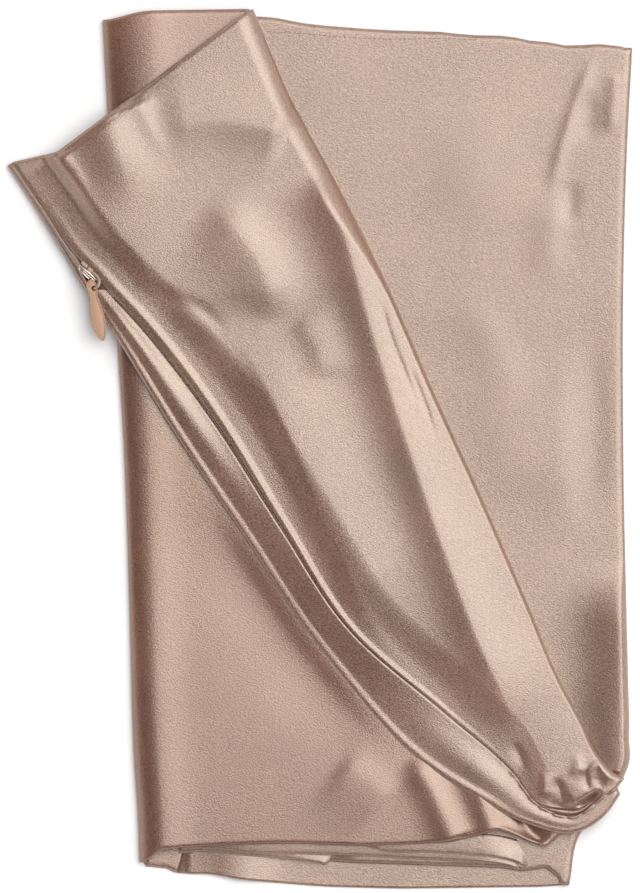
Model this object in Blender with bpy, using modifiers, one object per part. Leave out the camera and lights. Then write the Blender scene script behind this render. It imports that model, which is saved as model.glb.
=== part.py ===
"""A satin pillowcase folded in three, its zipped end turned back over the top in a diagonal flap.

The cloth is one sheet that runs back and forth. Seen from above with the top hem at +Y, a row of the
sheet starts at the closed end underneath, runs right along the table, turns at the right fold, runs
left as the middle layer, turns at the left fold, runs right as the top layer, and turns at the
diagonal fold into the flap. The flap ends in the zip's groove, a puffed band and a rim tucked under.
The rows go from the top hem to the gathered end at the lower right. The sheet is a loft through
these rows with a Solidify modifier. The zip's slider and pull are pieces of their own.
"""

import math

import bmesh
import bpy
import mathutils
import numpy as np

# Sizes are in millimetres, and MM turns them into Blender's metres.
MM = 0.001

# The cloth: two satin panels together, and the heights of its layers over the table.
SHEET_THICKNESS = 1.2
BOTTOM_LAYER_HEIGHT = SHEET_THICKNESS / 2
MIDDLE_LAYER_HEIGHT = 3.3
TOP_LAYER_LOW = 5.0
TOP_LAYER_HEIGHT = 6.9
FLAP_HEIGHT = 12.0
FLAP_TIP_HEIGHT = 5.0
TUCK_DROP = 2.2
TUCK_DROP_AT_TIP = 3.2
CLOSED_END_X = -50.0

# How wide each fold rounds over, above and below its outermost line.
RIGHT_FOLD = {"middle": 1.9, "reach_below": 1.3, "reach_above": 4.0}
LEFT_FOLD = {"middle": 2.6, "reach_below": 2.0, "reach_above": 12.0}
DIAGONAL_FOLD = {"rise": 1.8, "reach_below": 1.8, "reach_above": 11.0}
LEFT_FOLD_CREST = 7.0
BAND_CROWN = 1.4
BAND_REACH = 8.0
TUCK_LENGTH = 7.0
RIM_REACH_AT_SLIT = 1.6

# The zip's groove: an open slit for the slider near the tip, and a hollow in the gathered end.
GROOVE = {"depth": 2.2, "depth_at_tip": 0.8, "flap_side": 0.9, "band_side": 1.8}
SLIT = {"share": 0.140, "half_length": 0.024, "depth": 3.4, "band_side": 5.0}
PRESSED_BAND = {"share": 0.150, "half_length": 0.045, "drop": 1.8}
HOLLOW = {"share": 0.940, "half_length": 0.045, "depth": 4.4, "flap_side": 6.0}

# Where the rows lie: from and to a share of the width, and the number of steps between.
ROW_SPANS = ((0.00, 0.09, 4), (0.09, 0.18, 7), (0.18, 0.80, 13), (0.80, 1.00, 14))
BOTTOM_STEPS = 2
MIDDLE_STEPS = 8
TOP_STEPS = 9
FLAP_STEPS = 12
FOLD_STEPS_BELOW = 2
FOLD_STEPS_ABOVE = 4

# Down the sides of the packet: share of the width, left fold x and y, right fold x and y.
SIDE_ROWS = (
    (0.00, -124, 244, 177, 228),
    (0.12, -121, 186, 174, 170),
    (0.27, -119, 113, 172, 100),
    (0.50, -112, 4, 172, -10),
    (0.75, -108, -115, 176, -130),
    (0.87, -106, -173, 173, -180),
    (0.93, -104, -203, 151, -214),
    (1.00, -103, -236, 141, -249),
)

# Down the flap: share, then x and y of the diagonal fold, of the zip's groove and of the band's edge.
FLAP_ROWS = (
    (0.00, -39, 250, -175, 160, -178, 158),
    (0.06, -28, 223, -157, 135, -160, 133),
    (0.12, -16, 196, -139, 109, -143, 106),
    (0.14, -11, 187, -133, 101, -139, 97),
    (0.16, -7, 179, -126, 93, -130, 88),
    (0.18, -2, 170, -119, 86, -125.5, 80),
    (0.20, 3, 161, -111, 78, -121.5, 72),
    (0.35, 36, 96, -62, 17, -82, 7),
    (0.49, 63, 34, -23, -44, -43, -51),
    (0.63, 92, -30, 17, -104, -2, -112),
    (0.76, 117, -88, 70, -150, 52, -174),
    (0.86, 136, -133, 109, -184, 95, -202),
    (0.91, 148, -156, 126, -204, 116, -213),
    (0.95, 156, -173, 145, -209, 143, -219),
    (0.985, 167, -184, 160, -199, 162, -208),
    (1.00, 174, -186, 169, -195, 168, -202),
)

# The edges of the layers at the top hem and at the bottom: x and y along each.
TOP_HEM = ((-124, 244), (-36, 245), (20, 240), (79, 235), (131, 230), (177, 228))
TOP_LAYER_HEM = ((-124, 244), (-97, 249), (-39, 250))
TOP_LAYER_BOTTOM = (
    (-103, -231), (-69, -222), (-18, -219), (45, -225), (74, -224), (99, -217), (128, -227), (174, -186),
)
MIDDLE_BOTTOM = (
    (-103, -236), (-83, -238), (-62, -241), (-44, -238), (45, -237), (102, -239), (115, -241), (128, -239),
    (141, -249),
)
BOTTOM_BOTTOM = ((-52, -242), (-40, -247), (-10, -250), (45, -251), (125, -250), (141, -249))
HEM_BEND = {"share": 0.8, "drop": 11.0}

# Folds that run beside the zip: distance from it, half width, height, and the first and last share.
ZIP_SIDE_FOLDS = (
    (6, 4, 1.2, 0.00, 0.86),
    (24, 7, -2.0, -0.20, 0.36),
    (36, 7, 1.4, -0.20, 0.30),
)

# Folds in the flap: half width, height, then x and y of the points that each runs through.
FLAP_FOLDS = (
    (9, -2.4, ((40, 50), (62, -30), (91, -109), (113, -160))),
    (8, 1.8, ((66, 22), (86, -34), (112, -100), (126, -140))),
    (14, -1.8, ((-118, 186), (-92, 172), (-70, 178))),
    (15, -2.0, ((-64, 128), (-46, 104), (-40, 84))),
    (10, 1.6, ((-100, 150), (-60, 98), (-20, 20), (20, -60))),
)

# Folds in the top layer's lower corner, and in the middle layer: the same columns.
TOP_LAYER_FOLDS = (
    (9, -1.6, ((10, -150), (52, -186), (92, -212))),
    (7, 1.5, ((28, -190), (66, -208), (100, -221))),
    (17, -1.7, ((110, -196), (145, -204), (168, -194))),
)
MIDDLE_LAYER_FOLDS = (
    (9, 1.5, ((150, -60), (148, -110), (152, -160))),
    (12, 1.2, ((140, 215), (132, 170), (140, 120))),
)

# The gathered end at the lower right: x and y, half width across and along, and height.
GATHERS = (
    (147, -178, 17, 15, 6.0),
    (135, -183, 5, 12, -2.5),
    (156, -182, 4, 9, -2.5),
)

# The zip's slider: two plates with a web between them and a bridge over the top.
SLIDER_PLACE = (-132.9, 97.6)
SLIDER_HEADING = math.radians(-51.0)
SLIDER_LENGTH = 9.0
LOWER_PLATE = {"length": 4.0, "width": 1.8, "thickness": 1.0, "bottom": 8.3}
UPPER_PLATE = {"width": 3.4, "thickness": 1.1, "bottom": 10.5}
WEB_WIDTH = 1.2
BRIDGE_BAR = 1.1
BRIDGE_TOP = 15.5
BRIDGE_LEG_AT = 3.4

# The zip's pull: an eye round the bridge's front leg, a neck, and a teardrop blade.
PULL_TIP = (-126.5, 64.5)
PULL_HEIGHT = 13.3
PULL_TIP_HEIGHT = 11.2
PULL_THICKNESS = 1.0
PULL_WIDTH = 7.2
PULL_NECK_WIDTH = 4.2
PULL_HEAD_RADIUS = 2.7
PULL_EYE_RADIUS = 1.5


def clear_scene():
    for obj in list(bpy.data.objects):
        bpy.data.objects.remove(obj, do_unlink=True)


def make_material(name, colour, roughness, metallic):
    material = bpy.data.materials.new(name)
    material.use_nodes = True
    shader = material.node_tree.nodes["Principled BSDF"]
    shader.inputs["Base Color"].default_value = (*colour, 1.0)
    shader.inputs["Roughness"].default_value = roughness
    shader.inputs["Metallic"].default_value = metallic
    return material


def eased(amount):
    amount = np.clip(amount, 0.0, 1.0)
    return amount * amount * (3.0 - 2.0 * amount)


def smooth_columns(table, keys):
    """The table's other columns at each key in its first column, as a curve with no corners."""
    rows = np.array(table, dtype=float)
    known = rows[:, 0]
    slopes = np.gradient(rows[:, 1:], known, axis=0)
    index = np.clip(np.searchsorted(known, keys) - 1, 0, len(known) - 2)
    step = known[index + 1] - known[index]
    t = ((keys - known[index]) / step)[..., None]
    step = step[..., None]
    start = rows[index, 1:] * (1 + 2 * t) * (1 - t) ** 2 + slopes[index] * step * t * (1 - t) ** 2
    end = rows[index + 1, 1:] * (3 - 2 * t) * t**2 - slopes[index + 1] * step * t**2 * (1 - t)
    return start + end


def distance_to_path(xy, path):
    """The distance in plan from each point to a path of straight stretches, and how far along it."""
    nearest = np.full(xy.shape[:-1], np.inf)
    along = np.zeros(xy.shape[:-1])
    for number in range(len(path) - 1):
        start = np.array(path[number], dtype=float)
        run = np.array(path[number + 1], dtype=float) - start
        t = np.clip(((xy - start) @ run) / (run @ run), 0.0, 1.0)
        gap = np.linalg.norm(xy - start - t[..., None] * run, axis=-1)
        closer = gap < nearest
        along = np.where(closer, (number + t) / (len(path) - 1), along)
        nearest = np.where(closer, gap, nearest)
    return nearest, along


def folds_height(xy, folds):
    """The height that ridges and troughs add, each fading out towards both of its ends."""
    height = np.zeros(xy.shape[:-1])
    for half_width, rise, path in folds:
        gap, along = distance_to_path(xy, path)
        fade = eased(along / 0.3) * eased((1.0 - along) / 0.3)
        height += rise * (0.25 + 0.75 * fade) * np.exp(-((gap / half_width) ** 2))
    return height


def gathers_height(xy):
    height = np.zeros(xy.shape[:-1])
    for x, y, half_x, half_y, rise in GATHERS:
        height += rise * np.exp(-(((xy[..., 0] - x) / half_x) ** 2) - ((xy[..., 1] - y) / half_y) ** 2)
    return height


def middle_height(xy):
    """The middle layer lies on the bottom layer, and on the table left of the closed end."""
    over_end = eased((xy[..., 0] - CLOSED_END_X + 14.0) / 12.0)
    flat = BOTTOM_LAYER_HEIGHT + (MIDDLE_LAYER_HEIGHT - BOTTOM_LAYER_HEIGHT) * over_end
    return flat + folds_height(xy, MIDDLE_LAYER_FOLDS)


def top_height(xy):
    rise = eased((xy[..., 0] + 65.0) / 30.0)
    return TOP_LAYER_LOW + (TOP_LAYER_HEIGHT - TOP_LAYER_LOW) * rise + folds_height(xy, TOP_LAYER_FOLDS)


def flap_base(xy):
    """The flap's height without its folds. Its tip hangs out past the left fold, towards the table."""
    over_packet = eased((xy[..., 0] + 180.0) / 68.0)
    return FLAP_TIP_HEIGHT + (FLAP_HEIGHT - FLAP_TIP_HEIGHT) * over_packet


def flap_height(xy, share, from_zip):
    height = flap_base(xy) + folds_height(xy, FLAP_FOLDS) + gathers_height(xy)
    for distance, half_width, rise, first, last in ZIP_SIDE_FOLDS:
        fade = eased((share - first) / 0.1) * eased((last - share) / 0.12)
        height = height + rise * fade * np.exp(-(((from_zip - distance) / half_width) ** 2))
    return height


def edge_shift(x, line_y, edge):
    """How far an edge lies from the straight line between the two side folds, at each x."""
    table = np.array(edge, dtype=float)
    return np.interp(x, table[:, 0], table[:, 1]) - line_y


def patch(share, start, end, steps, first_edge=None, last_edge=None):
    """Points in plan between two side lines, with the first and last rows bent to the given edges."""
    u = np.linspace(0.0, 1.0, steps + 1)[None, :, None]
    xy = start[:, None, :] * (1.0 - u) + end[:, None, :] * u
    if first_edge is not None:
        shift = edge_shift(xy[0, :, 0], xy[0, :, 1], first_edge)
        shift[0] = shift[-1] = 0.0
        xy[:, :, 1] += shift[None, :] * (1.0 - share[:, None]) ** 3
    if last_edge is not None:
        shift = edge_shift(xy[-1, :, 0], xy[-1, :, 1], last_edge)
        shift[0] = shift[-1] = 0.0
        xy[:, :, 1] += shift[None, :] * share[:, None] ** 4
    return xy


def at_heights(xy, z):
    return np.concatenate([xy, z[..., None]], axis=-1)


def unit(vectors):
    return vectors / np.linalg.norm(vectors, axis=-1, keepdims=True)


def rounded(outermost, inward, low, middle, high, below, above, upwards):
    """A fold's rounded edge: a quarter ellipse below its outermost line and another above."""
    lower = np.linspace(-90.0, 0.0, FOLD_STEPS_BELOW + 1)[:-1]
    upper = np.linspace(0.0, 90.0, FOLD_STEPS_ABOVE + 1)
    angles = np.radians(np.concatenate([lower, upper]))
    if not upwards:
        angles = angles[::-1]
    under = (angles < 0.0)[None, :]
    reach = np.where(under, below[:, None], above[:, None])
    half = np.where(under, (middle - low)[:, None], (high - middle)[:, None])
    xy = outermost[:, None, :] + inward[:, None, :] * (reach * (1.0 - np.cos(angles)))[..., None]
    return at_heights(xy, middle[:, None] + half * np.sin(angles))


def row_shares():
    spans = [np.linspace(first, last, steps + 1)[:-1] for first, last, steps in ROW_SPANS]
    return np.concatenate(spans + [np.array([ROW_SPANS[-1][1]])])


def packet_rows(share):
    """The bottom, middle and top layers, and the folds between them, for each row."""
    sides = smooth_columns(SIDE_ROWS, share)
    left = sides[:, 0:2]
    right = sides[:, 2:4]
    diagonal = smooth_columns(FLAP_ROWS, share)[:, 0:2]
    full = np.ones(len(share))
    to_left = np.array([[-1.0, 0.0]]) * full[:, None]

    right_below = RIGHT_FOLD["reach_below"]
    right_above = RIGHT_FOLD["reach_above"]
    closed_end = np.stack([full * CLOSED_END_X, right[:, 1] + (left - right)[:, 1] * 0.55], axis=1)
    bottom_xy = patch(share, closed_end, right + to_left * right_below, BOTTOM_STEPS, None, BOTTOM_BOTTOM)
    bottom = at_heights(bottom_xy, np.full(bottom_xy.shape[:2], BOTTOM_LAYER_HEIGHT))

    left_below = LEFT_FOLD["reach_below"]
    left_above = LEFT_FOLD["reach_above"]
    middle_xy = patch(
        share, right + to_left * right_above, left - to_left * left_below, MIDDLE_STEPS,
        TOP_HEM, MIDDLE_BOTTOM,
    )
    middle = at_heights(middle_xy, middle_height(middle_xy))
    right_fold = rounded(
        right, to_left, bottom[:, -1, 2], full * RIGHT_FOLD["middle"], middle[:, 0, 2],
        full * right_below, full * right_above, True,
    )

    diagonal_below = DIAGONAL_FOLD["reach_below"]
    zip_line = smooth_columns(FLAP_ROWS, share)[:, 2:4]
    into_flap = unit(zip_line - diagonal)
    top_xy = patch(
        share, left - to_left * left_above, diagonal + into_flap * diagonal_below, TOP_STEPS,
        TOP_LAYER_HEM, TOP_LAYER_BOTTOM,
    )
    from_left = top_xy[..., 0] - left[:, None, 0] - left_above
    crest = (LEFT_FOLD_CREST - TOP_LAYER_LOW) * np.exp(-((from_left / 12.0) ** 2))
    top = at_heights(top_xy, top_height(top_xy) + crest)
    left_fold = rounded(
        left, -to_left, middle[:, -1, 2], full * LEFT_FOLD["middle"], top[:, 0, 2],
        full * left_below, full * left_above, True,
    )
    return [bottom, right_fold[:, 1:-1], middle, left_fold[:, 1:-1], top]


def plateau(share, place):
    """One near a slit's or hollow's middle and nought outside it."""
    return np.exp(-(((share - place["share"]) / place["half_length"]) ** 4))


def flap_rows(share, top_end):
    """The flap from the diagonal fold to the zip's groove, then the band and its tucked rim."""
    lines = smooth_columns(FLAP_ROWS, share)
    diagonal = lines[:, 0:2]
    zip_line = lines[:, 2:4]
    edge = lines[:, 4:6]
    across = np.linalg.norm(zip_line - diagonal, axis=1)
    band_width = np.linalg.norm(edge - zip_line, axis=1)
    into_flap = unit(zip_line - diagonal)
    to_edge = unit(edge - zip_line)
    full = np.ones(len(share))
    slit = plateau(share, SLIT)
    hollow = plateau(share, HOLLOW)

    above = np.minimum(DIAGONAL_FOLD["reach_above"], 0.3 * across)
    start = diagonal + into_flap * above[:, None]
    flap_gap = GROOVE["flap_side"] + (HOLLOW["flap_side"] - GROOVE["flap_side"]) * hollow
    lip = zip_line - into_flap * np.minimum(flap_gap, 0.25 * across)[:, None]
    flap_xy = patch(share, start, lip, FLAP_STEPS)
    u = np.linspace(0.0, 1.0, FLAP_STEPS + 1)
    bend = np.interp(u, (0.0, HEM_BEND["share"], 1.0), (0.0, 1.0, 0.0))
    flap_xy[:, :, 1] -= HEM_BEND["drop"] * bend[None, :] * (1.0 - share[:, None]) ** 8
    from_zip = (1.0 - u)[None, :] * np.linalg.norm(lip - start, axis=1)[:, None]
    flap = at_heights(flap_xy, flap_height(flap_xy, share[:, None], from_zip))

    low = top_end[:, 2]
    fold = rounded(
        diagonal, into_flap, low, low + DIAGONAL_FOLD["rise"], flap[:, 0, 2],
        full * DIAGONAL_FOLD["reach_below"], above, True,
    )

    reach = np.minimum(BAND_REACH, 0.42 * band_width)
    reach += (RIM_REACH_AT_SLIT - reach) * slit
    below = np.minimum(1.8, 0.3 * band_width) * (1.0 - 0.8 * slit)
    band_gap = np.minimum(GROOVE["band_side"], 0.3 * band_width)
    band_gap += (np.minimum(SLIT["band_side"], band_width - 2.6) - band_gap) * slit
    drop = PRESSED_BAND["drop"] * plateau(share, PRESSED_BAND)
    near = at_heights(zip_line + to_edge * band_gap[:, None], flap_base(zip_line) - 0.2 - drop)

    away_from_tip = eased((share - 0.04) / 0.08)
    depth = GROOVE["depth_at_tip"] + (GROOVE["depth"] - GROOVE["depth_at_tip"]) * away_from_tip
    depth += (SLIT["depth"] - depth) * slit
    depth += (HOLLOW["depth"] - depth) * hollow
    depth *= 1.0 - 0.85 * eased((share - 0.955) / 0.03)
    floor_z = flap_base(zip_line) + gathers_height(zip_line) * 0.3 - depth
    floor_a = zip_line + (lip - zip_line) * 0.7 + to_edge * (0.7 * slit)[:, None]
    floor_b = zip_line + to_edge * (band_gap * (0.45 + 0.45 * slit))[:, None]
    groove = np.stack([at_heights(floor_a, floor_z), at_heights(floor_b, floor_z)], axis=1)

    crown_xy = edge - to_edge * reach[:, None]
    crown_z = flap_base(crown_xy) + BAND_CROWN * np.minimum(1.0, band_width / 12.0) - drop
    tuck_drop = TUCK_DROP_AT_TIP + (TUCK_DROP - TUCK_DROP_AT_TIP) * away_from_tip
    tuck_z = flap_base(edge) - tuck_drop - drop
    rim = rounded(
        edge, -to_edge, tuck_z, (tuck_z + crown_z) / 2 - 0.3, crown_z, below, reach, False,
    )
    tuck_length = np.clip(band_width - band_gap - below - 2.0, 0.4, TUCK_LENGTH)
    tuck = at_heights(edge - to_edge * (below + tuck_length)[:, None], tuck_z)
    return [fold[:, 1:-1], flap, groove, near[:, None, :], rim, tuck[:, None, :]]


def sheet_points():
    share = row_shares()
    layers = packet_rows(share)
    layers += flap_rows(share, layers[-1][:, -1])
    return np.concatenate(layers, axis=1)


def loft(name, points):
    """A mesh of quads through rows of points that all have the same number of stations."""
    rows, stations = points.shape[:2]
    mesh = bpy.data.meshes.new(name)
    builder = bmesh.new()
    vertices = [builder.verts.new(point) for point in (points.reshape(-1, 3) * MM)]
    for row in range(rows - 1):
        for station in range(stations - 1):
            corner = row * stations + station
            builder.faces.new(
                (
                    vertices[corner],
                    vertices[corner + stations],
                    vertices[corner + stations + 1],
                    vertices[corner + 1],
                )
            )
    builder.to_mesh(mesh)
    builder.free()
    return mesh


def make_pillowcase(collection):
    mesh = loft("pillowcase", sheet_points())
    mesh.shade_smooth()
    pillowcase = bpy.data.objects.new("pillowcase", mesh)
    collection.objects.link(pillowcase)
    shell = pillowcase.modifiers.new("cloth thickness", "SOLIDIFY")
    shell.thickness = SHEET_THICKNESS * MM
    shell.offset = 0.0
    shell.use_even_offset = False
    mesh.materials.append(make_material("satin", (0.56, 0.42, 0.35), 0.38, 0.0))
    return pillowcase


def slider_frame():
    """Where the slider's middle lies, and the way the zip runs there."""
    return mathutils.Vector((*SLIDER_PLACE, 0.0)) * MM, mathutils.Euler((0.0, 0.0, SLIDER_HEADING))


def add_block(name, collection, length, width, height, along, bottom, bevel):
    """A bar with rounded edges on the slider's line, its underside at the given height."""
    mesh = bpy.data.meshes.new(name)
    builder = bmesh.new()
    bmesh.ops.create_cube(builder, size=1.0)
    bmesh.ops.scale(builder, vec=(length * MM, width * MM, height * MM), verts=builder.verts)
    bmesh.ops.bevel(
        builder, geom=builder.edges[:], offset=bevel * MM, segments=2, profile=0.5, affect="EDGES",
    )
    builder.to_mesh(mesh)
    builder.free()
    block = bpy.data.objects.new(name, mesh)
    collection.objects.link(block)
    middle, turn = slider_frame()
    block.location = middle + turn.to_matrix() @ mathutils.Vector((along * MM, 0.0, 0.0))
    block.location.z = (bottom + height / 2) * MM
    block.rotation_euler = turn
    return block


def hide_helper(obj):
    obj.hide_render = True
    obj.display_type = "WIRE"


def make_slider(collection, helpers):
    upper_top = UPPER_PLATE["bottom"] + UPPER_PLATE["thickness"]
    lower_top = LOWER_PLATE["bottom"] + LOWER_PLATE["thickness"]
    bury = 0.4
    slider = add_block(
        "zip_slider", collection, SLIDER_LENGTH, UPPER_PLATE["width"], UPPER_PLATE["thickness"],
        0.0, UPPER_PLATE["bottom"], 0.3,
    )
    lower = add_block(
        "slider lower plate", helpers, LOWER_PLATE["length"], LOWER_PLATE["width"], LOWER_PLATE["thickness"],
        0.0, LOWER_PLATE["bottom"], 0.25,
    )
    web = add_block(
        "slider web", helpers, SLIDER_LENGTH * 0.5, WEB_WIDTH, UPPER_PLATE["bottom"] - lower_top + 2 * bury,
        0.0, lower_top - bury, 0.15,
    )
    leg_height = BRIDGE_TOP - upper_top + bury
    legs = [
        add_block(
            f"slider leg {end}", helpers, BRIDGE_BAR, BRIDGE_BAR, leg_height,
            end * BRIDGE_LEG_AT, upper_top - bury, 0.15,
        )
        for end in (-1, 1)
    ]
    bar = add_block(
        "slider bridge", helpers, 2 * BRIDGE_LEG_AT + BRIDGE_BAR + 0.3, BRIDGE_BAR + 0.3, BRIDGE_BAR,
        0.0, BRIDGE_TOP - BRIDGE_BAR + 0.1, 0.25,
    )
    for piece in [lower, web, *legs, bar]:
        hide_helper(piece)
        joined = slider.modifiers.new(piece.name, "BOOLEAN")
        joined.operation = "UNION"
        joined.solver = "EXACT"
        joined.object = piece
    slider.data.materials.append(make_material("zip metal", (0.62, 0.45, 0.36), 0.3, 0.6))


def pull_outline(steps):
    """The pull's rim from the back of its head, down one side to the tip and back: x across, y along."""
    length = math.dist(eye_place(), PULL_TIP)
    neck_at = PULL_HEAD_RADIUS * 1.25
    side = []
    for step in range(steps + 1):
        along = -PULL_HEAD_RADIUS + (length + PULL_HEAD_RADIUS) * 0.5 * (1 - math.cos(math.pi * step / steps))
        head = math.sqrt(max(0.0, PULL_HEAD_RADIUS**2 - along**2))
        share = min(1.0, max(0.0, (along - neck_at) / (length - neck_at)))
        blade = PULL_WIDTH / 2 * math.sin(math.pi * share**0.8) ** 0.62
        neck = PULL_NECK_WIDTH / 2 if 0.0 < along < length * 0.6 else 0.0
        side.append((max(head, blade, neck), along))
    return side + [(-x, y) for x, y in reversed(side[1:-1])]


def eye_place():
    turn = SLIDER_HEADING
    return (
        SLIDER_PLACE[0] + BRIDGE_LEG_AT * math.cos(turn),
        SLIDER_PLACE[1] + BRIDGE_LEG_AT * math.sin(turn),
    )


def circle(radius, steps):
    turns = [2 * math.pi * step / steps for step in range(steps)]
    return [(radius * math.cos(turn), radius * math.sin(turn)) for turn in turns]


def make_pull(collection):
    curve = bpy.data.curves.new("zip_pull", "CURVE")
    curve.dimensions = "2D"
    curve.fill_mode = "BOTH"
    curve.bevel_depth = 0.2 * MM
    curve.bevel_resolution = 1
    curve.extrude = PULL_THICKNESS / 2 * MM - curve.bevel_depth
    for outline in (pull_outline(22), circle(PULL_EYE_RADIUS, 16)):
        spline = curve.splines.new("POLY")
        spline.points.add(len(outline) - 1)
        for point, (x, y) in zip(spline.points, outline):
            point.co = (x * MM, y * MM, 0.0, 1.0)
        spline.use_cyclic_u = True
    pull = bpy.data.objects.new("zip_pull", curve)
    collection.objects.link(pull)
    eye = mathutils.Vector((*eye_place(), PULL_HEIGHT)) * MM
    tip = mathutils.Vector((*PULL_TIP, PULL_TIP_HEIGHT)) * MM
    pull.location = eye
    pull.rotation_euler = (tip - eye).to_track_quat("Y", "Z").to_euler()
    curve.materials.append(make_material("zip enamel", (0.56, 0.37, 0.26), 0.35, 0.2))


def main():
    clear_scene()
    collection = bpy.data.collections.new("pillowcase")
    helpers = bpy.data.collections.new("slider pieces")
    for made in (collection, helpers):
        bpy.context.scene.collection.children.link(made)
    make_pillowcase(collection)
    make_slider(collection, helpers)
    make_pull(collection)


main()
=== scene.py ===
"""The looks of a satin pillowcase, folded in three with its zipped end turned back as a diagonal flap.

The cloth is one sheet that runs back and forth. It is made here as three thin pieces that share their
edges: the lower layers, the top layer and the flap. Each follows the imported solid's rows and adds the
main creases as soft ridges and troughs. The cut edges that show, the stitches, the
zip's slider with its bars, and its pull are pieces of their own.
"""

import math
import types

import bpy
import mathutils
import numpy as np
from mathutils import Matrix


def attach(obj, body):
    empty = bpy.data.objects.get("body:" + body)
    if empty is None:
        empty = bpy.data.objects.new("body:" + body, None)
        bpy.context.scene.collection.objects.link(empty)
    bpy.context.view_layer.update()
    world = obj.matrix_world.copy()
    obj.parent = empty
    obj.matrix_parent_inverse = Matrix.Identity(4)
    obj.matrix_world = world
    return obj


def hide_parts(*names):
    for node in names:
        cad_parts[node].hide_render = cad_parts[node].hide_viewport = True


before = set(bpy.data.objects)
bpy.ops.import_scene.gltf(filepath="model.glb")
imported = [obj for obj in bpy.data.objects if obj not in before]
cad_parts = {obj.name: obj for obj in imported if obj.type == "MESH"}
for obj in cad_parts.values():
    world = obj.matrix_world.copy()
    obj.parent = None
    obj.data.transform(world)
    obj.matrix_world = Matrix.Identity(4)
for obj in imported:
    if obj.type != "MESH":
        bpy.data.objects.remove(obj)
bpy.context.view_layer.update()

# Sizes are in millimetres, and MM turns them into Blender's metres. A share is 0 at the top hem and 1
# at the gathered end. A pair called "over" is the x, y or share where a change starts and ends.
MM = 0.001
TO_LEFT = np.array([[-1.0, 0.0]])

# The cloth, and the heights of its layers over the table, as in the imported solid.
CLOTH_THICKNESS = 0.7
LOWEST = 0.45
BOTTOM_LAYER_HEIGHT = 0.6
MIDDLE_LAYER_HEIGHT = 3.3
TOP_LAYER = {"low": 6.0, "high": 6.9, "over": (-100.0, 50.0)}
BOTTOM_LIP = {"rise": 2.4, "over": (-40.0, -222.0)}
FLAP = {"at_tip": 5.0, "high": 12.0, "over": (-180.0, -112.0)}
FLAP_SAG = {"drop": 1.6, "over": (-150.0, -90.0)}
LOW_CORNER = {"height": 1.4, "over_x": (4.0, 22.0), "over_y": (-212.0, -226.0)}

# The closed end: its x, how far across the bag its y is read, and the slope over it, from its own line.
CLOSED_END = {"x": -50.0, "way_across": 0.55, "slope": (-30.0, 2.0)}
CLOSED_END_CORNER = {"reach": 32.0, "over": (-175.0, -225.0)}

# How wide each fold rounds over, above and below its outermost line. Two are flatter near the top hem.
RIGHT_FOLD = {"middle": 1.9, "reach_below": 1.3, "reach_above": 4.0}
LEFT_FOLD = {"middle": 2.6, "reach_below": 2.0, "reach_above": 14.0, "bulge": 1.75}
LEFT_FOLD_AT_TOP = {"reach_above": 26.0, "bulge": 1.85, "over": (0.10, 0.32)}
LEFT_FOLD_CREST = {"rise": 1.0, "half_width": 12.0}
DIAGONAL_FOLD = {"rise": 1.8, "reach_below": 1.8, "reach_above": 2.6, "bulge": 2.0}
DIAGONAL_FOLD_AT_TOP = {"reach_above": 11.0, "bulge": 1.6, "over": (0.22, 0.38)}

# The band's outer rim, thinner beside the slit, and the cloth that is tucked under it.
RIM = {"reach": 2.6, "reach_at_slit": 1.6, "below": 1.8, "thinner_at_slit": 0.8, "lower": 0.3}
TUCK = {"longest": 7.0, "shortest": 0.4, "margin": 2.0}
TUCK_DROP = {"at_tip": 3.2, "beyond": 2.2, "least": 1.5, "over": (0.04, 0.12)}

# Where the flap and the band are narrow, a part takes no more than this share of their width.
MOST_OF_FLAP = {"fold": 0.3, "lip": 0.25}
MOST_OF_BAND = {"rim": 0.42, "rim_below": 0.3, "groove": 0.3}

# The zip's groove: share, depth, and its width on the flap's and on the band's side.
GROOVE_ROWS = (
    (0.00, 0.9, 0.5, 1.2),
    (0.08, 1.2, 0.5, 1.2),
    (0.20, 2.4, 0.6, 1.3),
    (0.55, 2.4, 0.6, 1.2),
    (0.66, 1.7, 0.4, 0.8),
    (0.78, 1.2, 0.3, 0.7),
    (1.00, 1, 0.3, 0.7),
)

# An open slit in the groove for the slider near the tip, and a hollow in the gathered end.
SLIT = {"opens": (0.118, 0.148), "closes": (0.156, 0.166), "depth": 7.0, "edge_width": 2.2, "edge_rise": 0.4}
HOLLOW = {"share": 0.950, "half_length": 0.034, "depth": 6.0, "flap_side": 4.0}
GROOVE_END = {"shallower": 0.85, "over": (0.970, 0.990)}
# The groove's floor lies between two lines. Their places are shares of the gaps to the lip and the band.
GROOVE_FLOOR = {
    "lip_side": 0.7, "past_lip_in_hollow": 0.55, "off_lip_in_slit": 0.5, "raised_in_slit": 4.34,
    "band_side": 0.45, "gathers": 0.3,
}
# The cloth on the hollow's floor: how far across it from the lip, and how high over the floor.
HOLLOW_FLOOR = ((0, 0), (0.16, 1.2), (0.34, 4), (0.62, 4.6), (0.86, 3.4), (1, 2))

# The band is pressed down beside the slider. Its inner edge is ruffled where the cloth gathers.
PRESSED_BAND = {"share": 0.150, "half_length": 0.045, "drop": 1.8}
GATHERED_OVER = (0.82, 0.90)
RUFFLES = {
    "height": 0.35, "pitch": 9.0, "fine": 0.6, "fine_pitch": 4.3, "sideways": 0.6, "rise": 0.6,
    "half_width": 0.9,
}

# Where the rows lie: from and to a share of the width, and the number of steps between.
ROW_SPANS = ((0.00, 0.09, 28), (0.09, 0.18, 36), (0.18, 0.80, 110), (0.80, 1.00, 80))
BOTTOM_STEPS = 26
MIDDLE_STEPS = 151
MIDDLE_STEPS_ABOVE = 1
TOP_STEPS = 100
TOP_STEPS_UNDER_FLAP = 6
FLAP_STEPS = 112
GROOVE_STEPS = 5
BAND_STEPS = 26
FOLD_STEPS_BELOW = 6
FOLD_STEPS_ABOVE = 10

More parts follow.
